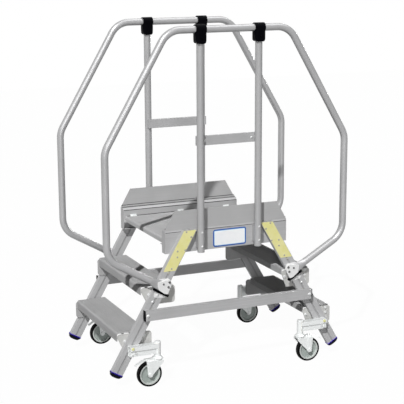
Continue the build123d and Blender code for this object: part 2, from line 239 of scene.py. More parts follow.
whole = (0.0, 1.0)
middle_part = (0.3, 0.7)
upper_part = (0.35, 0.70)
grain_part = (0.4, 0.7)
mist_part = (0.35, 0.75)
dust_part = (0.45, 0.80)
scuff_part = (0.66, 0.72)
film_scuff_part = (0.66, 0.74)
fine_depth = 0.0002
plain_depth = 0.0003
deep_depth = 0.0004

# Half width, edge ratio and darkness of the painted shade in a stile's groove
groove_half = 0.004
groove_edge = 1.4
groove_shade = 0.78


def groove_painted_shade(look):
    """Painted shade in the groove of a stile: a darker tone, found from the distance to the stile's centre
    line.
    """
    axes = axes_of(look.tree, look.plain)
    reach = look.maths("SUBTRACT", look.maths("ABSOLUTE", axes[0]), line_x)
    gap = look.maths("ADD", look.maths("MULTIPLY", reach, math.sin(slope)),
                     look.maths("MULTIPLY", axes[2], math.cos(slope)))
    span = (groove_half, groove_half * groove_edge)
    return look.spread(look.maths("ABSOLUTE", gap), span, (groove_shade, 1.0))


cloud_tone = (0.965, 1.035)
scuff_share = 6
scuff_tint = 1.18
metal_tint = grey(0.40)


def metal(name, colour, run, metallic, rough, relief, turn=None, lines=0.08, paint_groove_shade=False,
          gloss=0.30, uneven=0.06):
    """Satin metal with draw lines along one way: run is the stretch of the grain on each axis."""
    look = Finish(name, turn)
    drawn = look.noise(draw_lines, look.mapped(Scale=run))
    shade = look.spread(drawn, middle_part, (1.0 - lines, 1.0 + lines))
    shade = look.maths("MULTIPLY", shade, look.spread(look.noise(metal_cloud), middle_part, cloud_tone))
    # Painted shade: the colour is darkened along the groove of a stile
    if paint_groove_shade:
        shade = look.maths("MULTIPLY", shade, groove_painted_shade(look))
    tone = output(look.tree, "ShaderNodeCombineColor", {0: shade, 1: shade, 2: shade})
    pale = look.blend(1.0, colour, tone, "MULTIPLY")
    scuff = look.spread(look.noise(metal_scuffs), scuff_part, (0.0, uneven * scuff_share))
    fine = look.bump(look.noise(metal_grain), relief / 2, fine_depth)
    return look.done(look.blend(scuff, pale, tinted(colour, scuff_tint)),
                     look.spread(drawn, middle_part, (rough - uneven, rough + uneven)),
                     look.bump(drawn, relief, plain_depth, fine),
                     Metallic=metallic, Specular_IOR_Level=gloss, Specular_Tint=metal_tint)


along_x = (2.5, 700.0, 700.0)
along_y = (700.0, 2.5, 700.0)
along_z = (700.0, 700.0, 2.5)
no_run = (260.0, 260.0, 260.0)
soft_run = (60.0, 60.0, 60.0)
profile_colour = (0.45, 0.45, 0.455, 1.0)
stile_colour = (0.47, 0.47, 0.475, 1.0)
sheet_colour = (0.44, 0.44, 0.442, 1.0)
deck_colour = (0.485, 0.485, 0.487, 1.0)
tread_colour = (0.42, 0.42, 0.422, 1.0)
tube_colour = (0.43, 0.43, 0.435, 1.0)
plate_colour = (0.56, 0.56, 0.545, 1.0)
bracket_colour = grey(0.80)

profile_level = metal("extruded_profile_level", profile_colour, along_x, 0.08, 0.42, 0.12)
profile_right = metal("extruded_profile_right", stile_colour, along_x, 0.10, 0.38, 0.12,
                      turn=(0.0, -slope, 0.0), paint_groove_shade=True)
profile_left = metal("extruded_profile_left", stile_colour, along_x, 0.10, 0.38, 0.12,
                     turn=(0.0, slope, 0.0), paint_groove_shade=True)
toe_finish = metal("satin_sheet_level", sheet_colour, along_x, 0.05, 0.48, 0.10, lines=0.05)
deck_finish = metal("satin_sheet_deck", deck_colour, along_y, 0.0, 0.52, 0.14, lines=0.09, gloss=0.10)
tread_finish = metal("satin_sheet_across", tread_colour, along_y, 0.0, 0.60, 0.14, lines=0.09,
                     gloss=0.01)
tube_bent = metal("drawn_tube_bent", tube_colour, soft_run, 0.45, 0.37, 0.008, lines=0.02, uneven=0.01)
tube_upright = metal("drawn_tube_upright", tube_colour, along_z, 0.20, 0.26, 0.05, lines=0.04)
pressed = metal("pressed_plate", plate_colour, no_run, 0.10, 0.45, 0.20, lines=0.06)
# Darker, duller copy of the pressed plate finish: painted shade for the end plates on the far side
pressed_shaded_copy = metal("pressed_plate_painted_shade", tread_colour, no_run, 0.0, 0.60, 0.20, lines=0.06, gloss=0.01)
bracket_finish = metal("bright_bracket_plate", bracket_colour, no_run, 0.10, 0.35, 0.10, lines=0.05)

rough_steps = (-0.06, 0.08)
crystal_mix = (0.0, 0.16)
mist_mix = (0.0, 0.30)
zinc_dark = 0.86
zinc_light = 1.10
zinc_relief = 0.12


def zinc(name, colour, rough):
    """Bright zinc with a faint crystal pattern and paler patches of mist."""
    look = Finish(name)
    spangle = look.cells(spangle_scale, "Color")
    mist = look.spread(look.noise(zinc_mist), mist_part, mist_mix)
    base = look.blend(look.spread(spangle, whole, crystal_mix), colour, tinted(colour, zinc_dark))
    return look.done(look.blend(mist, base, tinted(colour, zinc_light)),
                     look.spread(spangle, whole, [rough + step for step in rough_steps]),
                     look.bump(look.noise(zinc_grain), zinc_relief, plain_depth),
                     Metallic=0.20, Specular_Tint=grey(0.6))


castor_zinc = zinc("bright_zinc_steel", (0.84, 0.86, 0.855, 1.0), 0.32)
screw_zinc = zinc("zinc_fastener", (0.72, 0.73, 0.73, 1.0), 0.30)
yellow_zinc = zinc("yellow_zinc_fastener", (0.74, 0.72, 0.34, 1.0), 0.34)
rivet_metal = zinc("rivet_aluminium", (0.42, 0.41, 0.36, 1.0), 0.36)
grey_screw = zinc("dull_grey_fastener", grey(0.13), 0.42)

dust_mix = (0.0, 0.35)
dust_tint = 1.6
plastic_fine_share = 0.4


def moulded(name, colour, rough, pebbles, relief):
    """Moulded plastic: fine leather grain, with paler dust and a roughness that vary in soft patches."""
    look = Finish(name)
    cloud = look.noise(plastic_cloud)
    dusty = look.spread(cloud, dust_part, dust_mix)
    fine = look.bump(look.noise(plastic_grain), relief * plastic_fine_share, fine_depth)
    leather = look.cells(pebbles, "Distance", "SMOOTH_F1")
    return look.done(look.blend(dusty, colour, tinted(colour, dust_tint)),
                     look.spread(cloud, middle_part, [rough + step for step in rough_steps]),
                     look.bump(leather, relief, deep_depth, fine),
                     Specular_IOR_Level=0.03, Specular_Tint=grey(0.5))


black_moulded = moulded("black_moulded_plastic", (0.002, 0.002, 0.003, 1.0), 0.50, 900.0, 0.25)
# Near-black finish for strips that paint the shadow lines in the seams
gap_shadow = moulded("seam_shadow_paint", (0.012, 0.012, 0.013, 1.0), 0.60, 700.0, 0.20)

collar_step = (-0.0085, -0.0050)
lip_highlight_step = (-0.0030, -0.0010)
lip_highlight_mix = (0.0, 0.85)
tread_mix = (0.0, 0.4)
foot_rough = (0.38, 0.52)
foot_relief = 0.18
foot_dark = ((0.004, 0.004, 0.008, 1.0), grey(0.014))
foot_blue = ((0.006, 0.001, 0.17, 1.0), (0.013, 0.004, 0.25, 1.0))
painted_lip_highlight = (0.34, 0.28, 0.70, 1.0)


def foot_plastic():
    """Two-colour foot cap: blue collar at the stile and black tread below, told apart along the stile; a
    paler band at the top of the collar is a painted highlight.
    """
    look = Finish("two_colour_foot_plastic")
    axes = axes_of(look.tree, look.plain)
    reach = look.maths("SUBTRACT", look.maths("ABSOLUTE", axes[0]), line_x)
    height = look.maths("SUBTRACT", look.maths("MULTIPLY", axes[2], math.sin(slope)),
                        look.maths("MULTIPLY", reach, math.cos(slope)))
    end_reach = stile_x(stile_end_z) - line_x
    end_height = stile_end_z * math.sin(slope) - end_reach * math.cos(slope)
    split = look.spread(height, [end_height + step for step in collar_step])
    # Painted highlight: a paler lavender band at the top of the blue collar
    lip = look.spread(height, [end_height + step for step in lip_highlight_step], lip_highlight_mix)
    grain = look.noise(foot_grain)
    cloud = look.noise(foot_cloud)
    black = look.blend(look.spread(grain, grain_part, tread_mix), *foot_dark)
    blue = look.blend(look.spread(cloud, middle_part), *foot_blue)
    blue = look.blend(lip, blue, painted_lip_highlight)
    return look.done(look.blend(split, black, blue), look.spread(cloud, middle_part, foot_rough),
                     look.bump(grain, foot_relief, plain_depth),
                     Specular_IOR_Level=0.08, Specular_Tint=grey(0.5))


def axle_distance(look):
    """Distance from the axle, at any of the four castors."""
    axes = axes_of(look.tree, look.plain)
    across_x = look.maths("SUBTRACT", look.maths("ABSOLUTE", axes[0]), axle.x)
    across_z = look.maths("SUBTRACT", axes[2], axle.z)
    square = look.maths("ADD", look.maths("MULTIPLY", across_x, across_x),
                        look.maths("MULTIPLY", across_z, across_z))
    return look.maths("SQRT", square)


wheel_rough = (0.38, 0.50)
rim_step = (0.0425, 0.0455)
overlap_step = (0.0516, 0.0522)
disc_greys = ((0.31, 0.35, 0.33, 1.0), (0.37, 0.41, 0.39, 1.0))
rim_greys = ((0.50, 0.53, 0.51, 1.0), (0.58, 0.61, 0.59, 1.0))
rubber_black = grey(0.003)
rubber_dust = grey(0.020)
wheel_ring_rate = 5200.0
tyre_ring_rate = 4200.0
ring_relief = 0.10
worn_depth = 0.0012
worn_mix = (0.1, 0.9)
tyre_rough = (0.52, 0.72)
tyre_relief = 0.22


def turned_rings(look, radius, rate):
    """Faint turned rings from the mould."""
    return look.bump(look.maths("SINE", look.maths("MULTIPLY", radius, rate)), ring_relief, fine_depth)


def wheel_plastic():
    """Wheel centre: grey disc, paler rim, and the rubber that laps over its edge."""
    look = Finish("grey_wheel_plastic")
    radius = axle_distance(look)
    cloud = look.noise(wheel_cloud)
    share = look.spread(cloud, middle_part)
    disc = look.blend(share, *disc_greys)
    rim = look.blend(share, *rim_greys)
    both = look.blend(look.spread(radius, rim_step), disc, rim)
    return look.done(look.blend(look.spread(radius, overlap_step), both, rubber_black),
                     look.spread(cloud, middle_part, wheel_rough),
                     turned_rings(look, radius, wheel_ring_rate))


def tyre_rubber():
    """Dull black rubber with mould rings and a scuffed running face."""
    look = Finish("black_tyre_rubber")
    radius = axle_distance(look)
    worn = look.spread(radius, (tyre_radius - worn_depth, tyre_radius))
    grain = look.noise(rubber_grain)
    dust = look.maths("MULTIPLY", worn, look.spread(grain, upper_part, worn_mix))
    rings = turned_rings(look, radius, tyre_ring_rate)
    return look.done(look.blend(dust, rubber_black, rubber_dust),
                     look.spread(grain, middle_part, tyre_rough),
                     look.bump(grain, tyre_relief, deep_depth, rings),
                     Specular_IOR_Level=0.06, Specular_Tint=grey(0.5))


film_rough_steps = (-0.05, 0.08)
film_scuff_mix = (0.0, 0.4)
film_scuff_tint = 0.80
film_relief = 0.06


def film(name, colour, second, rough):
    """Plain coloured film: faint mottling, a soft orange-peel surface and light scuffs."""
    look = Finish(name)
    cloud = look.noise(film_cloud)
    base = look.blend(look.spread(cloud, upper_part), colour, second)
    scuff = look.spread(look.noise(film_scuffs), film_scuff_part, film_scuff_mix)
    return look.done(look.blend(scuff, base, tinted(colour, film_scuff_tint)),
                     look.spread(cloud, middle_part, [rough + step for step in film_rough_steps]),
                     look.bump(look.noise(film_peel), film_relief, fine_depth))


label_film = film("pale_yellow_film", (0.78, 0.74, 0.30, 1.0), (0.82, 0.78, 0.40, 1.0), 0.40)
sign_white = film("white_sign_film", (0.90, 0.92, 0.94, 1.0), (0.95, 0.96, 0.97, 1.0), 0.32)
sign_pale = film("pale_blue_sign_film", (0.42, 0.68, 0.86, 1.0), (0.48, 0.72, 0.88, 1.0), 0.32)
sign_blue = film("blue_sign_film", (0.008, 0.075, 0.36, 1.0), (0.012, 0.10, 0.42, 1.0), 0.34)

weld_rough = (0.30, 0.50)
weld_relief = 0.25
weld_greys = ((0.62, 0.62, 0.60, 1.0), (0.74, 0.72, 0.66, 1.0))


def weld_metal():
    """Weld bead: bright ripples with a straw tint in soft patches."""
    look = Finish("weld_bead_metal")
    cloud = look.noise(weld_ripples)
    return look.done(look.blend(look.spread(cloud, upper_part), *weld_greys),
                     look.spread(cloud, middle_part, weld_rough),
                     look.bump(cloud, weld_relief, plain_depth), Metallic=0.35)


foot_finish = foot_plastic()
wheel_finish = wheel_plastic()
tyre_finish = tyre_rubber()
weld_finish = weld_metal()

# Finishes of the carried-over nodes


def dress(name, material):
    """Gives a node of the frame its finish."""
    slots = nodes[name].material_slots
    for slot in slots:
        slot.material = material
    if not slots:
        nodes[name].data.materials.append(material)


side_finishes = {"beam": profile_level, "toe_board": toe_finish, "mid_rail": profile_level,
                 "brace": profile_level, "handrail": tube_bent}
corner_finishes = {"foot": foot_finish, "post": tube_upright, "clamp": black_moulded,
                   "brace_cap": black_moulded, "castor_arm": castor_zinc, "fork": castor_zinc,
                   "rim": wheel_finish, "tyre": tyre_finish}
dress("deck", deck_finish)
for side, sy in sides:
    for label, finish in side_finishes.items():
        dress(label + "_" + side, finish)
for spot, sx, sy in corners:
    dress("stile_" + spot, profile_right if sx > 0 else profile_left)
    for label, finish in corner_finishes.items():
        dress(label + "_" + spot, finish)
tread_labels = [("%d_%s" % (step, end), sx) for step in (1, 2) for end, sx in ends]
for label, sx in tread_labels:
    dress("tread_" + label, tread_finish)
    for side, sy in sides:
        # End plates on the far side take the darker copy, painted shade
        dress("end_plate_" + label + "_" + side, pressed if sy < 0 else pressed_shaded_copy)

# Meshes


def put(name, data):
    """A new object, in the scene."""
    made = bpy.data.objects.new(name, data)
    bpy.context.scene.collection.objects.link(made)
    return made


merge_distance = 1e-6
plain_crease = 35.0
head_crease = 30.0
ridge_crease = 20.0
weld_crease = 60.0


def keep(name, mesh, material, body="ladder", crease=plain_crease):
    """Makes a finished mesh a piece that rides on a body; edges over the crease, in degrees, stay sharp."""
    mesh.materials.clear()
    mesh.materials.append(material)
    mesh.polygons.foreach_set("use_smooth", [True] * len(mesh.polygons))
    mesh.set_sharp_from_angle(angle=math.radians(crease))
    piece = put(name, mesh)
    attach(piece, body)


def mesh_of(bm, name):
    """Closes a working mesh: doubles merged, normals outward."""
    bmesh.ops.remove_doubles(bm, verts=bm.verts, dist=merge_distance)
    bmesh.ops.recalc_face_normals(bm, faces=bm.faces)
    mesh = bpy.data.meshes.new(name)
    bm.to_mesh(mesh)
    bm.free()
    return mesh


def skin(bm, rings):
    """Closed solid through rings of points of equal count."""
    made = [[bm.verts.new(point) for point in ring] for ring in rings]
    count = len(made[0])
    for first, second in zip(made, made[1:]):
        for k in range(count):
            after = (k + 1) % count
            bm.faces.new((first[k], first[after], second[after], second[k]))
    bm.faces.new(list(reversed(made[0])))
    bm.faces.new(made[-1])


def rounded_outline(points, radius, steps=4):
    """Closed outline with every corner rounded by an arc."""
    out = []
    count = len(points)
    for k in range(count):
        before = Vector(points[k - 1])
        corner = Vector(points[k])
        after = Vector(points[(k + 1) % count])
        back = (before - corner).normalized()
        on = (after - corner).normalized()
        half = math.acos(max(-1.0, min(1.0, back.dot(on)))) / 2
        cut = min(radius / math.tan(half), (before - corner).length / 2, (after - corner).length / 2)
        middle = corner + (back + on).normalized() * (cut / math.cos(half))
        start = corner + back * cut - middle
        finish = corner + on * cut - middle
        turn = math.atan2(start.x * finish.y - start.y * finish.x, start.dot(finish))
        for step in range(steps + 1):
            out.append(middle + Matrix.Rotation(turn * step / steps, 2) @ start)
    return out


def shrunk(points, distance):
    """An outline moved inwards by a small distance, for a bevelled edge."""
    count = len(points)
    centre = sum(points, Vector((0.0, 0.0))) / count
    out = []
    for k in range(count):
        run = (points[(k + 1) % count] - points[k - 1]).normalized()
        inward = Vector((-run.y, run.x))
        if inward.dot(centre - points[k]) < 0:
            inward = -inward
        out.append(points[k] + inward * distance)
    return out


def plate(bm, points, y_in, y_out, edge):
    """A plate with a bevelled outer edge on an upright face: points are (x, z)."""
    lip = y_out + (edge if y_in > y_out else -edge)
    inner = shrunk(points, edge)
    skin(bm, [[(p.x, y_in, p.y) for p in points],
              [(p.x, lip, p.y) for p in points],
              [(p.x, y_out, p.y) for p in inner]])


def lathe(bm, centre, profile, count=32):
    """Turned upright solid: profile is (radius, height) from its foot to its top."""
    rings = []
    for radius, height in profile:
        ring = []
        for k in range(count):
            angle = 2 * math.pi * k / count
            ring.append(Vector(centre) + Vector((radius * math.cos(angle), radius * math.sin(angle), height)))
        rings.append(ring)
    skin(bm, rings)


def tray(bm, xs, ys, zs, edge):
    """A bar with bevelled edges all round; each axis is given as two ends in either order."""
    low = Vector((min(xs), min(ys), min(zs)))
    high = Vector((max(xs), max(ys), max(zs)))
    size = high - low
    middle = (high + low) / 2
    made = bmesh.ops.create_cube(bm, size=1.0)
    for vert in made["verts"]:
        vert.co = middle + Vector((vert.co.x * size.x, vert.co.y * size.y, vert.co.z * size.z))
    edges = list({edge_of for vert in made["verts"] for edge_of in vert.link_edges})
    bmesh.ops.bevel(bm, geom=edges, offset=edge, segments=2, affect="EDGES", profile=0.5)


# Geometry Nodes for what repeats

number = "NodeSocketFloat"
count_of = "NodeSocketInt"
finish_of = "NodeSocketMaterial"


def new_tree(name, inputs):
    """A geometry tree with named inputs; returns it and the outputs of its input node."""
    tree = bpy.data.node_groups.new(name, "GeometryNodeTree")
    face = tree.interface
    face.new_socket("Geometry", in_out="INPUT", socket_type="NodeSocketGeometry")
    for label, kind in inputs:
        face.new_socket(label, in_out="INPUT", socket_type=kind)
    face.new_socket("Geometry", in_out="OUTPUT", socket_type="NodeSocketGeometry")
    return tree, node(tree, "NodeGroupInput").outputs


def closed_tree(tree, get, geometry):
    """Ends a tree: instances made real, finish set."""
    real = output(tree, "GeometryNodeRealizeInstances", {0: geometry})
    painted = output(tree, "GeometryNodeSetMaterial", {"Geometry": real, "Material": get["Finish"]})
    node(tree, "NodeGroupOutput", {0: painted})
    return tree


def run_tree(name, mesh, tree, values):
    """Runs a geometry tree on a start mesh and returns the plain mesh that it makes."""
    start = put(name + "_start", mesh)
    maker = start.modifiers.new("maker", "NODES")
    maker.node_group = tree
    for item in tree.interface.items_tree:
        if item.in_out == "INPUT" and item.name in values:
            maker[item.identifier] = values[item.name]
    graph = bpy.context.evaluated_depsgraph_get()
    graph.update()
    made = bpy.data.meshes.new_from_object(start.evaluated_get(graph))
    start.modifiers.remove(maker)
    bpy.data.objects.remove(start)
    return made


crown_rings = 5
crown_power = 3.0
recess_width = 0.28
washer_sides = 28
washer_rings = 2
washer_crown = 0.06


def fastener_tree():
    """Screw, rivet or bolt heads on points: crowned head on a washer, with an optional cross recess."""
    tree, get = new_tree("fastener_heads", (
        ("Head Radius", number), ("Head Height", number), ("Head Sides", count_of),
        ("Crown", number), ("Washer Radius", number), ("Washer Height", number),
        ("Recess", number), ("Turn Seed", count_of), ("Finish", finish_of)))

    def crowned(radius, height, sides, rings, crown, lift):
        """A cylinder whose upper rings draw in, as one closed shell."""
        body = output(tree, "GeometryNodeMeshCylinder",
                      {"Vertices": sides, "Side Segments": rings, "Radius": radius, "Depth": height})
        x, y, z = axes_of(tree, output(tree, "GeometryNodeInputPosition"))
        share = maths(tree, "ADD", maths(tree, "DIVIDE", z, height), 0.5)
        lost = maths(tree, "MULTIPLY", crown, maths(tree, "POWER", share, crown_power))
        draw = maths(tree, "SUBTRACT", 1.0, lost)
        foot = maths(tree, "ADD", maths(tree, "MULTIPLY", height, 0.5), lift)
        moved = vector(tree, maths(tree, "MULTIPLY", x, draw), maths(tree, "MULTIPLY", y, draw),
                       maths(tree, "ADD", z, foot))
        return output(tree, "GeometryNodeSetPosition", {"Geometry": body, "Position": moved})

    head = crowned(get["Head Radius"], get["Head Height"], get["Head Sides"], crown_rings, get["Crown"],
                   get["Washer Height"])
    width = maths(tree, "MULTIPLY", get["Recess"], recess_width)
    high = vector(tree, z=maths(tree, "ADD", get["Head Height"], get["Washer Height"]))
    bars = node(tree, "GeometryNodeJoinGeometry")
    for size in (vector(tree, get["Recess"], width, get["Head Height"]),
                 vector(tree, width, get["Recess"], get["Head Height"])):
        bar = output(tree, "GeometryNodeMeshCube", {"Size": size})
        placed = output(tree, "GeometryNodeTransform", {"Geometry": bar, "Translation": high})
        tree.links.new(placed, bars.inputs[0])
    cut = output(tree, "GeometryNodeMeshBoolean", {0: head, 1: bars.outputs[0]}, operation="DIFFERENCE")
    wanted = output(tree, "FunctionNodeCompare", {0: get["Recess"], 1: 0.0}, data_type="FLOAT",
                    operation="GREATER_THAN")
    chosen = output(tree, "GeometryNodeSwitch", {0: wanted, 1: head, 2: cut}, input_type="GEOMETRY")
    washer = crowned(get["Washer Radius"], get["Washer Height"], washer_sides, washer_rings,
                     washer_crown, 0.0)
    both = node(tree, "GeometryNodeJoinGeometry", {0: washer})
    tree.links.new(chosen, both.inputs[0])
    facing = output(tree, "GeometryNodeInputNamedAttribute", {"Name": "facing"}, data_type="FLOAT_VECTOR")
    size = output(tree, "GeometryNodeInputNamedAttribute", {"Name": "size"}, data_type="FLOAT")
    aligned = output(tree, "FunctionNodeAlignRotationToVector", {"Vector": facing}, axis="Z")
    placed = output(tree, "GeometryNodeInstanceOnPoints",
                    {"Points": get["Geometry"], "Instance": both.outputs[0], "Rotation": aligned,
                     "Scale": vector(tree, size, size, size)})
    angle = node(tree, "FunctionNodeRandomValue", {2: 0.0, 3: math.pi, "Seed": get["Turn Seed"]},
                 data_type="FLOAT").outputs[1]
    turned = output(tree, "GeometryNodeRotateInstances",
                    {"Instances": placed, "Rotation": vector(tree, z=angle), "Local Space": True})
    return closed_tree(tree, get, turned)


ridge_top_share = 0.55
ridge_end_share = 0.997


def ridge_tree():
    """Rows of low grip ridges: bars with a narrower top, one pitch apart."""
    tree, get = new_tree("grip_ridges", (
        ("Rows", count_of), ("Pitch", number), ("Length", number), ("Width", number),
        ("Height", number), ("Start", "NodeSocketVector"), ("Finish", finish_of)))
    rows = output(tree, "GeometryNodeMeshLine",
                  {"Count": get["Rows"], "Start Location": get["Start"],
                   "Offset": vector(tree, get["Pitch"])}, mode="OFFSET")
    bar = output(tree, "GeometryNodeMeshCube",
                 {"Size": vector(tree, get["Width"], get["Length"], get["Height"]), "Vertices X": 3})
    x, y, z = axes_of(tree, output(tree, "GeometryNodeInputPosition"))
    above = output(tree, "FunctionNodeCompare", {0: z, 1: 0.0}, data_type="FLOAT",
                   operation="GREATER_THAN")
    narrow = vector(tree, maths(tree, "MULTIPLY", x, ridge_top_share),
                    maths(tree, "MULTIPLY", y, ridge_end_share), z)
    shaped = output(tree, "GeometryNodeSetPosition",
                    {"Geometry": bar, "Selection": above, "Position": narrow})
    placed = output(tree, "GeometryNodeInstanceOnPoints", {"Points": rows, "Instance": shaped})
    return closed_tree(tree, get, placed)


def bead_tree():
    """Weld beads: overlapping ripples on a row of points, each a little different in size."""
    tree, get = new_tree("weld_beads", (
        ("Bead Radius", number), ("Smallest", number), ("Largest", number), ("Seed", count_of),
        ("Finish", finish_of)))
    ripple = output(tree, "GeometryNodeMeshIcoSphere", {"Radius": get["Bead Radius"], "Subdivisions": 2})
    scale = node(tree, "FunctionNodeRandomValue",
                 {2: get["Smallest"], 3: get["Largest"], "Seed": get["Seed"]}, data_type="FLOAT").outputs[1]
    placed = output(tree, "GeometryNodeInstanceOnPoints",
                    {"Points": get["Geometry"], "Instance": ripple, "Scale": scale})
    return closed_tree(tree, get, placed)


fasteners = fastener_tree()
ridges = ridge_tree()
beads = bead_tree()

# Fasteners; a place is a point, the way that its head faces, and its size

outward = (0.0, -1.0, 0.0)
head_inputs = ("Head Radius", "Head Height", "Head Sides", "Crown", "Washer Radius", "Washer Height",
               "Recess")
rivet = (0.0048, 0.0020, 20, 0.62, 0.0056, 0.0004, 0.0)
hex_bolt = (0.0075, 0.0050, 6, 0.08, 0.0092, 0.0014, 0.0)
pan_screw = (0.0055, 0.0028, 24, 0.45, 0.0066, 0.0006, 0.0058)
axle_nut = (0.0094, 0.0040, 6, 0.08, 0.0110, 0.0009, 0.0)


def start_points(places):
    """Start mesh of single points, each with its facing and its size."""
    points, facings, sizes = zip(*places)
    turns = [value for facing in facings for value in facing]
    mesh = bpy.data.meshes.new("places")
    mesh.from_pydata(points, [], [])
    mesh.attributes.new("facing", "FLOAT_VECTOR", "POINT").data.foreach_set("vector", turns)
    mesh.attributes.new("size", "FLOAT", "POINT").data.foreach_set("value", sizes)
    return mesh


def heads(name, places, kind, material, body="ladder"):
    """One mesh of fastener heads of a kind."""
    values = dict(zip(head_inputs, kind))
    values["Finish"] = material
    values["Turn Seed"] = len(name)
    made = run_tree(name, start_points(places), fasteners, values)
    keep(name, made, material, body, head_crease)


def on_face(y, size, *points):
    """Places on an upright outer face of the right near corner: points are (x, z)."""
    return [((x, y, z), outward, size) for x, z in points]


def mirrored(place, sx, sy):
    """A place of the right near corner, moved to another corner."""
    (x, y, z), (nx, ny, nz), size = place
    return (sx * x, -sy * y, z), (sx * nx, -sy * ny, nz), size


def at_corners(places):
    """Places of the right near corner, repeated at all four."""
    return [mirrored(place, sx, sy) for spot, sx, sy in corners for place in places]


saddle_face = tab_face - 0.002
bracket_face = stile_face - 0.0016
arm_bolt_face = arm_face + 0.006
brace_middle = (brace_low.z + brace_high.z) / 2
mid_rail_middle = (mid_low.z + mid_high.z) / 2
post_screw_high = top_z - 0.014
post_screw_low = beam_low.z + 0.030
clamp_screw_z = clamp_low.z + 0.026
stile_rivets = on_face(stile_face, 1.0, (0.202, 0.714), (0.226, 0.741), (0.234, 0.651), (0.274, 0.650),
                       (0.275, 0.621), (0.306, 0.567), (0.322, 0.547), (0.414, 0.376))
tab_bolts = on_face(saddle_face, 0.66, (0.328, 0.482))
bracket_bolts = on_face(saddle_face, 0.70, (0.322, 0.505)) + on_face(saddle_face, 0.55, (0.353, 0.499))
stile_screws = (on_face(bracket_face, 1.0, (0.353, 0.438), (0.381, 0.444))
                + on_face(stile_face, 1.0, (0.406, 0.415)))
arm_bolts = (on_face(arm_bolt_face, 0.86, (0.508, arm_foot + 0.004))
             + on_face(arm_bolt_face, 0.80, (0.525, arm_foot - 0.005)))
arm_upper_bolts = on_face(arm_face, 0.80, (0.523, arm_high_edge - 0.0085))
post_screws = on_face(rail_face, 0.85, (post_x, post_screw_high), (post_x, post_screw_low))
brace_screws = on_face(brace_low.y, 1.35, (0.440, brace_middle))
rail_screws = on_face(mid_low.y, 1.0, (0.124, mid_rail_middle))
clamp_screws = on_face(clamp_low.y, 0.8, (post_x, clamp_screw_z))

# End plates are cut at their front or their back, and their bolts follow that. A bolt has its x on the
# lowest tread and its drop from the tread's top; a tread has its top, and how far it steps back.

plate_face = abs(stile_inner)
front_cut_bolts = ((0.543, -0.043), (0.442, -0.025), (0.460, -0.042))
back_cut_bolts = ((0.562, -0.018), (0.561, -0.043), (0.563, -0.070), (0.446, -0.040))
tread_tops = ((0.272, 0.0), (0.488, 0.1247))
plate_bolts = []
for spot, sx, sy in corners:
    cut_bolts = front_cut_bolts if sx == sy else back_cut_bolts
    for tread_top, shift in tread_tops:
        places = on_face(-plate_face, 0.80, *[(x - shift, tread_top + drop) for x, drop in cut_bolts])
        plate_bolts += [mirrored(place, sx, sy) for place in places]

heads("stile_rivets", at_corners(stile_rivets), rivet, rivet_metal)
heads("handrail_tab_bolts", at_corners(tab_bolts), hex_bolt, grey_screw)
heads("handrail_bracket_bolts", at_corners(bracket_bolts), hex_bolt, grey_screw)
heads("stile_screws", at_corners(stile_screws), pan_screw, screw_zinc)
heads("brace_screws", at_corners(brace_screws), pan_screw, screw_zinc)
heads("end_plate_bolts", plate_bolts, hex_bolt, screw_zinc)
heads("castor_arm_bolts", at_corners(arm_bolts), hex_bolt, screw_zinc)
heads("castor_arm_upper_bolts", at_corners(arm_upper_bolts), hex_bolt, yellow_zinc)
heads("post_screws", at_corners(post_screws), pan_screw, screw_zinc)
heads("mid_rail_screws", at_corners(rail_screws), pan_screw, screw_zinc)
heads("clamp_screws", at_corners(clamp_screws), pan_screw, black_moulded)

fork_half = 0.024
for spot, sx, sy in corners:
    places = [((sx * axle.x, sy * axle_out + way * fork_half, axle.z), (0.0, way, 0.0), 1.0)
              for way in (-1, 1)]
    heads("axle_nuts_" + spot, places, axle_nut, screw_zinc, body="castor_" + spot)

# Grip ridges on the treads and the deck

ridge_pitch = 0.008
ridge_width = 0.0034
ridge_height = 0.0008
ridge_edge = 0.006
nose = 0.011


def ridge_rows(name, high, x_low, x_high, half_y, finish):
    """Ridges across a top surface, from x_low to x_high."""
    rows = int((x_high - x_low) / ridge_pitch) + 1
    spare = (x_high - x_low) - (rows - 1) * ridge_pitch
    values = {"Rows": rows, "Pitch": ridge_pitch, "Length": 2 * half_y, "Width": ridge_width,
              "Height": 2 * ridge_height, "Start": (x_low + spare / 2, 0.0, high.z), "Finish": finish}
    made = run_tree(name, bpy.data.meshes.new("empty"), ridges, values)
    keep(name, made, finish, crease=ridge_crease)


for label, sx in tread_labels:
    low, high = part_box("tread_" + label)
    back_gap = ridge_edge if sx > 0 else nose
    front_gap = nose if sx > 0 else ridge_edge
    ridge_rows("grip_tread_" + label, high, low.x + back_gap, high.x - front_gap,
               high.y - ridge_edge / 2, tread_finish)
ridge_rows("grip_deck", deck_high, deck_low.x + nose, deck_high.x - nose, deck_high.y - ridge_edge,
           deck_finish)

# Yellow films on the near stiles, the sign on the near beam

label_half = 0.028
label_low = 0.556
label_high = top_z - 0.001
label_round = 0.003
label_lean = label_half / math.sin(slope)
film_thick = 0.0005
for end, sx in ends:
    shape = [(sx * (stile_x(z) + way * label_lean), z)
             for z, way in ((label_low, -1), (label_low, 1), (label_high, 1), (label_high, -1))]
    bm = bmesh.new()
    plate(bm, rounded_outline(shape, label_round), stile_face, stile_face - film_thick, film_thick / 2)
    keep("stile_label_" + end, mesh_of(bm, "label"), label_film)

sign_low = (-0.075, 0.6435)
sign_high = (0.104, 0.7305)
sign_round = 0.012
sign_step = 0.0005
sign_thick = 0.0007
sign_edge = 0.0002
sign_layers = (("border", sign_blue, "blue_plastic", 0.0), ("line", sign_pale, "blue_plastic", 0.0062),
               ("field", sign_white, "aluminium_sheet", 0.0085))
for place, (label, finish, slot, inset) in enumerate(sign_layers):
    low = [edge + inset for edge in sign_low]
    high = [edge - inset for edge in sign_high]
    shape = [low, (high[0], low[1]), high, (low[0], high[1])]
    back = beam_face - place * sign_step
    bm = bmesh.new()
    plate(bm, rounded_outline(shape, sign_round - inset, 8), back, back - sign_thick, sign_edge)
    keep("beam_sign_" + label, mesh_of(bm, "sign"), finish)
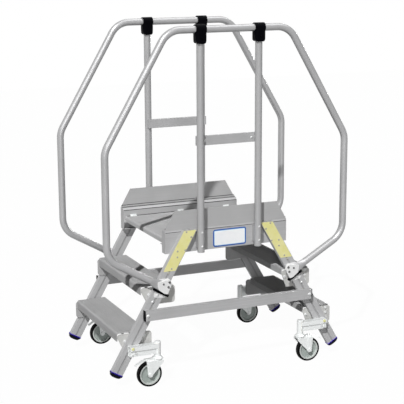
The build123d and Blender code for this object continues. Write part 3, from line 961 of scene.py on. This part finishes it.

# Dark strips in the seams, painted shadow lines: half length, outer face, thickness, lower edge and height

strip_edge = 0.0002
strip_half = beam_high.x - 0.002
seam_shadow_strips = (
    (beam_high.x - 0.001, beam_out - 0.0004, 0.0012, top_z - 0.0105, 0.0025),
    (strip_half, toe_inner, 0.0016, toe_lip_top, 0.0024),
    (strip_half, toe_lip_inner, 0.0016, top_z, 0.0020),
    (strip_half, beam_inner, 0.0012, top_z - 0.0125, 0.0025),
    (deck_high.x - 0.010, beam_inner, 0.0040, deck_high.z, 0.0018))
for side, sy in sides:
    bm = bmesh.new()
    for half_x, y_out, thick, z_low, rise in seam_shadow_strips:
        tray(bm, (-half_x, half_x), (sy * y_out, sy * (y_out - thick)), (z_low, z_low + rise), strip_edge)
    keep("seam_shadow_strips_" + side, mesh_of(bm, "strips"), gap_shadow)

# Folded clips that hold the deck at the beams

clip_half = 0.017
clip_reach = 0.013
clip_thick = 0.002
clip_foot = 0.0028
clip_rise = 0.010
clip_edge = 0.0006
clip_screw_in = 0.0075
clip_places = (-0.273, -0.004, 0.263)
for side, sy in sides:
    bm = bmesh.new()
    for x in clip_places:
        for reach, rise in ((clip_reach, clip_foot), (clip_thick, clip_rise)):
            tray(bm, (x - clip_half, x + clip_half), (sy * beam_inner, sy * (beam_inner - reach)),
                 (deck_high.z, deck_high.z + rise), clip_edge)
    keep("deck_clips_" + side, mesh_of(bm, "clips"), castor_zinc)
clip_screws = [((x, sy * (beam_inner - clip_screw_in), deck_high.z + clip_foot), (0.0, 0.0, 1.0), 0.7)
               for side, sy in sides for x in clip_places]
heads("deck_clip_screws", clip_screws, pan_screw, screw_zinc)

# Mounting plates of the handrails, the pressed saddles over the flattened ends, and black strips under the
# ends that paint their shadow

bracket_corners = ((0.318, 0.522), (0.378, 0.524), (0.402, 0.436), (0.342, 0.427))
saddle_corners = ((0.309, 0.494), (0.320, 0.520), (0.385, 0.512), (0.380, 0.474), (0.350, 0.451),
                  (0.332, 0.446))
# Painted shadow: a black strip along the lower edge of each flattened end
shadow_strip_corners = ((0.3225, 0.4410), (0.3305, 0.4305), (0.4060, 0.4740), (0.4000, 0.4850))
shadow_strip_face = tab_face + 0.001
rail_plates = (
    ("bracket", bracket_corners, bracket_face, 0.008, 0.0005, bracket_finish, "cast_aluminium"),
    ("saddle", saddle_corners, saddle_face, 0.005, 0.0012, bracket_finish, "cast_aluminium"),
    ("shadow_strip", shadow_strip_corners, shadow_strip_face, 0.005, 0.0012, black_moulded, "black_plastic"))
for spot, sx, sy in corners:
    for label, outline, face, radius, edge, finish, slot in rail_plates:
        shape = [(sx * x, z) for x, z in outline]
        bm = bmesh.new()
        plate(bm, rounded_outline(shape, radius), sy * stile_out, sy * abs(face), edge)
        keep("handrail_" + label + "_" + spot, mesh_of(bm, label), finish)

# Rounded treads of the foot caps: rings along the stile, each with its distance and two half widths

sole_rings = ((0.0060, 0.0300, 0.0133), (0.0120, 0.0303, 0.0135), (0.0165, 0.0288, 0.0126),
              (0.0205, 0.0250, 0.0106), (0.0235, 0.0180, 0.0072), (0.0247, 0.0080, 0.0030))
sole_points = 48


def squared(value):
    """Draws a sine or cosine out, so that a ring becomes a rounded rectangle."""
    return math.copysign(abs(value) ** 0.5, value)


for spot, sx, sy in corners:
    rings = []
    for down, half_long, half_short in sole_rings:
        ring = []
        for k in range(sole_points):
            angle = 2 * math.pi * k / sole_points
            across = half_long * squared(math.cos(angle))
            x = stile_x(stile_end_z) + down * math.cos(slope) + across * math.sin(slope)
            z = stile_end_z - down * math.sin(slope) + across * math.cos(slope)
            ring.append((sx * x, sy * (stile_middle + half_short * squared(math.sin(angle))), z))
        rings.append(ring)
    bm = bmesh.new()
    skin(bm, rings)
    keep("foot_sole_" + spot, mesh_of(bm, "sole"), foot_finish)

# Weld beads where the arm meets its sleeve: down both sides, and round the top

bead_pitch = 0.0022
bead_inset = 0.0004
bead_kind = {"Bead Radius": 0.0019, "Smallest": 0.8, "Largest": 1.15, "Seed": 7, "Finish": weld_finish}
down_steps = int((arm_high_edge - arm_low_edge) / bead_pitch)
arc_steps = int(math.pi * sleeve_radius / bead_pitch)
bead_points = [(stem.x - bead_inset, stem.y + way * sleeve_radius, arm_low_edge + bead_pitch * (k + 0.5))
               for way in (-1, 1) for k in range(down_steps)]
for k in range(arc_steps + 1):
    angle = math.pi * (k / arc_steps - 0.5)
    bead_points.append((stem.x + sleeve_radius * math.cos(angle), stem.y + sleeve_radius * math.sin(angle),
                        arm_high_edge))
bead_mesh = bpy.data.meshes.new("bead_points")
bead_mesh.from_pydata([(sx * x, -sy * y, z) for spot, sx, sy in corners for x, y, z in bead_points], [], [])
keep("castor_arm_welds", run_tree("castor_arm_welds", bead_mesh, beads, bead_kind), weld_finish,
     crease=weld_crease)

# Caps on the sleeves and ribs on the brake pedals

cap_sink = 0.001
cap_profile = ((0.0125, 0.0), (0.0125, 0.0022), (0.0115, 0.0032), (0.0085, 0.0032), (0.0078, 0.0024),
               (0.0015, 0.0024))
pedal_root_x = stem.x + 0.058
pedal_root_z = stem.z + 0.0003
pedal_tip_z = pedal_root_z - 0.024
pedal_middle_x = (pedal_root_x + pedal_tip_x) / 2
pedal_middle_z = (pedal_root_z + pedal_tip_z) / 2 + 0.005
pedal_line = ((pedal_root_x, pedal_root_z), (pedal_middle_x, pedal_middle_z), (pedal_tip_x, pedal_tip_z))
rib_count = 5
rib_first = 0.003
rib_pitch = 0.005
rib_half = 0.0009
rib_reach = 0.0085
rib_under = 0.0012
rib_over = 0.0008
rib_edge = 0.0004


def pedal_height(x):
    """Top of a brake pedal at x: a parabola through its root, its middle and its tip."""
    height = 0.0
    for own_x, own_z in pedal_line:
        weight = 1.0
        for other_x, other_z in pedal_line:
            if other_x != own_x:
                weight *= (x - other_x) / (own_x - other_x)
        height += weight * own_z
    return height


for spot, sx, sy in corners:
    bm = bmesh.new()
    lathe(bm, (sx * stem.x, sy * stem_out, arm_high.z - cap_sink), cap_profile)
    keep("sleeve_cap_" + spot, mesh_of(bm, "cap"), screw_zinc)
    bm = bmesh.new()
    for k in range(rib_count):
        x = pedal_tip_x - rib_first - rib_pitch * k
        z = pedal_height(x)
        tray(bm, (sx * (x - rib_half), sx * (x + rib_half)),
             (sy * stem_out - rib_reach, sy * stem_out + rib_reach), (z - rib_under, z + rib_over), rib_edge)
    keep("pedal_ribs_" + spot, mesh_of(bm, "ribs"), castor_zinc, "castor_" + spot)

# Floor and world: white to the camera and in reflections, plain and low for the light on the ladder

floor_glow = 0.975
floor_half = 12.0
floor_scale = 2.0
floor_tone = (0.88, 0.90)
floor_bounce = grey(0.30)
fill_level = 0.04


def mixed_shader(tree, factor, first, second):
    """Two shaders mixed by a factor."""
    return output(tree, "ShaderNodeMixShader", {0: factor, 1: first, 2: second})


def floor_finish():
    """Pale floor that looks white to the camera and keeps a soft shadow."""
    material = bpy.data.materials.new("pale_floor")
    material.use_nodes = True
    tree = material.node_tree
    tree.nodes.clear()
    place = node(tree, "ShaderNodeTexCoord").outputs["Object"]
    cloud = output(tree, "ShaderNodeTexNoise", {"Vector": place, "Scale": floor_scale})
    tone = output(tree, "ShaderNodeMapRange", dict(enumerate((cloud,) + middle_part + floor_tone)))
    matt = output(tree, "ShaderNodeBsdfDiffuse", {0: tone})
    room = output(tree, "ShaderNodeBsdfDiffuse", {0: floor_bounce})
    glow = output(tree, "ShaderNodeEmission", {1: 1.0})
    rays = node(tree, "ShaderNodeLightPath").outputs
    direct = maths(tree, "MAXIMUM", rays["Is Camera Ray"], rays["Is Glossy Ray"])
    picked = mixed_shader(tree, direct, room, mixed_shader(tree, floor_glow, matt, glow))
    node(tree, "ShaderNodeOutputMaterial", {0: picked})
    return material


floor_mesh = bpy.data.meshes.new("floor")
floor_corners = [(x * floor_half, y * floor_half, 0.0) for x, y in ((-1, -1), (1, -1), (1, 1), (-1, 1))]
floor_mesh.from_pydata(floor_corners, [], [(0, 1, 2, 3)])
floor_mesh.materials.append(floor_finish())
floor = put("floor", floor_mesh)

world = bpy.data.worlds.new("plain_studio")
bpy.context.scene.world = world
world.use_nodes = True
tree = world.node_tree
tree.nodes.clear()
rays = node(tree, "ShaderNodeLightPath").outputs
direct = maths(tree, "MAXIMUM", rays["Is Camera Ray"], rays["Is Glossy Ray"])
seen = maths(tree, "MAXIMUM", direct, rays["Is Transmission Ray"])
fill = output(tree, "ShaderNodeBackground", {0: grey(1.0), 1: fill_level})
white = output(tree, "ShaderNodeBackground", {0: grey(1.0), 1: 1.0})
node(tree, "ShaderNodeOutputWorld", {0: mixed_shader(tree, seen, fill, white)})

# Lamps: strength, width in degrees, and the way that the light goes; the sheen lamp gives gloss alone

lamps = {"key": (3.15, 1.0, (0.66, 0.78, -1.0)),
         "front": (0.62, 12.0, (0.30, 0.92, -0.18)),
         "back": (1.2, 10.0, (-0.55, -0.83, -0.02)),
         "sheen": (1.5, 50.0, (-0.40, 0.01, -0.92))}
for label, (strength, width, way) in lamps.items():
    sun = bpy.data.lights.new(label, "SUN")
    sun.energy = strength
    sun.angle = math.radians(width)
    lamp = put(label, sun)
    lamp.visible_diffuse = label != "sheen"
    lamp.rotation_mode = "QUATERNION"
    lamp.rotation_quaternion = Vector((0.0, 0.0, -1.0)).rotation_difference(Vector(way).normalized())

# Camera at the photograph's viewing angle

camera_place = Vector((-2.401, -5.387, 2.0676))
camera_yaw = math.radians(24.05)
camera_pitch = math.radians(12.095)
camera_roll = math.radians(-0.28)
sensor_width = 36.0
focal_pixels = 1179.4
photo_pixels = 404
far_clip = 60.0
forward = Vector((math.sin(camera_yaw) * math.cos(camera_pitch),
                  math.cos(camera_yaw) * math.cos(camera_pitch), -math.sin(camera_pitch)))
level = Vector((math.cos(camera_yaw), -math.sin(camera_yaw), 0.0))
upward = level.cross(forward)
right = math.cos(camera_roll) * level + math.sin(camera_roll) * upward
upward = math.cos(camera_roll) * upward - math.sin(camera_roll) * level
lens = bpy.data.cameras.new("camera")
lens.sensor_width = sensor_width
lens.lens = sensor_width * focal_pixels / photo_pixels
lens.clip_end = far_clip
camera = put("camera", lens)
turn = Matrix((right, upward, -forward)).transposed().to_4x4()
camera.matrix_world = Matrix.Translation(camera_place) @ turn
bpy.context.scene.camera = camera
bpy.context.scene.view_settings.view_transform = "Standard"
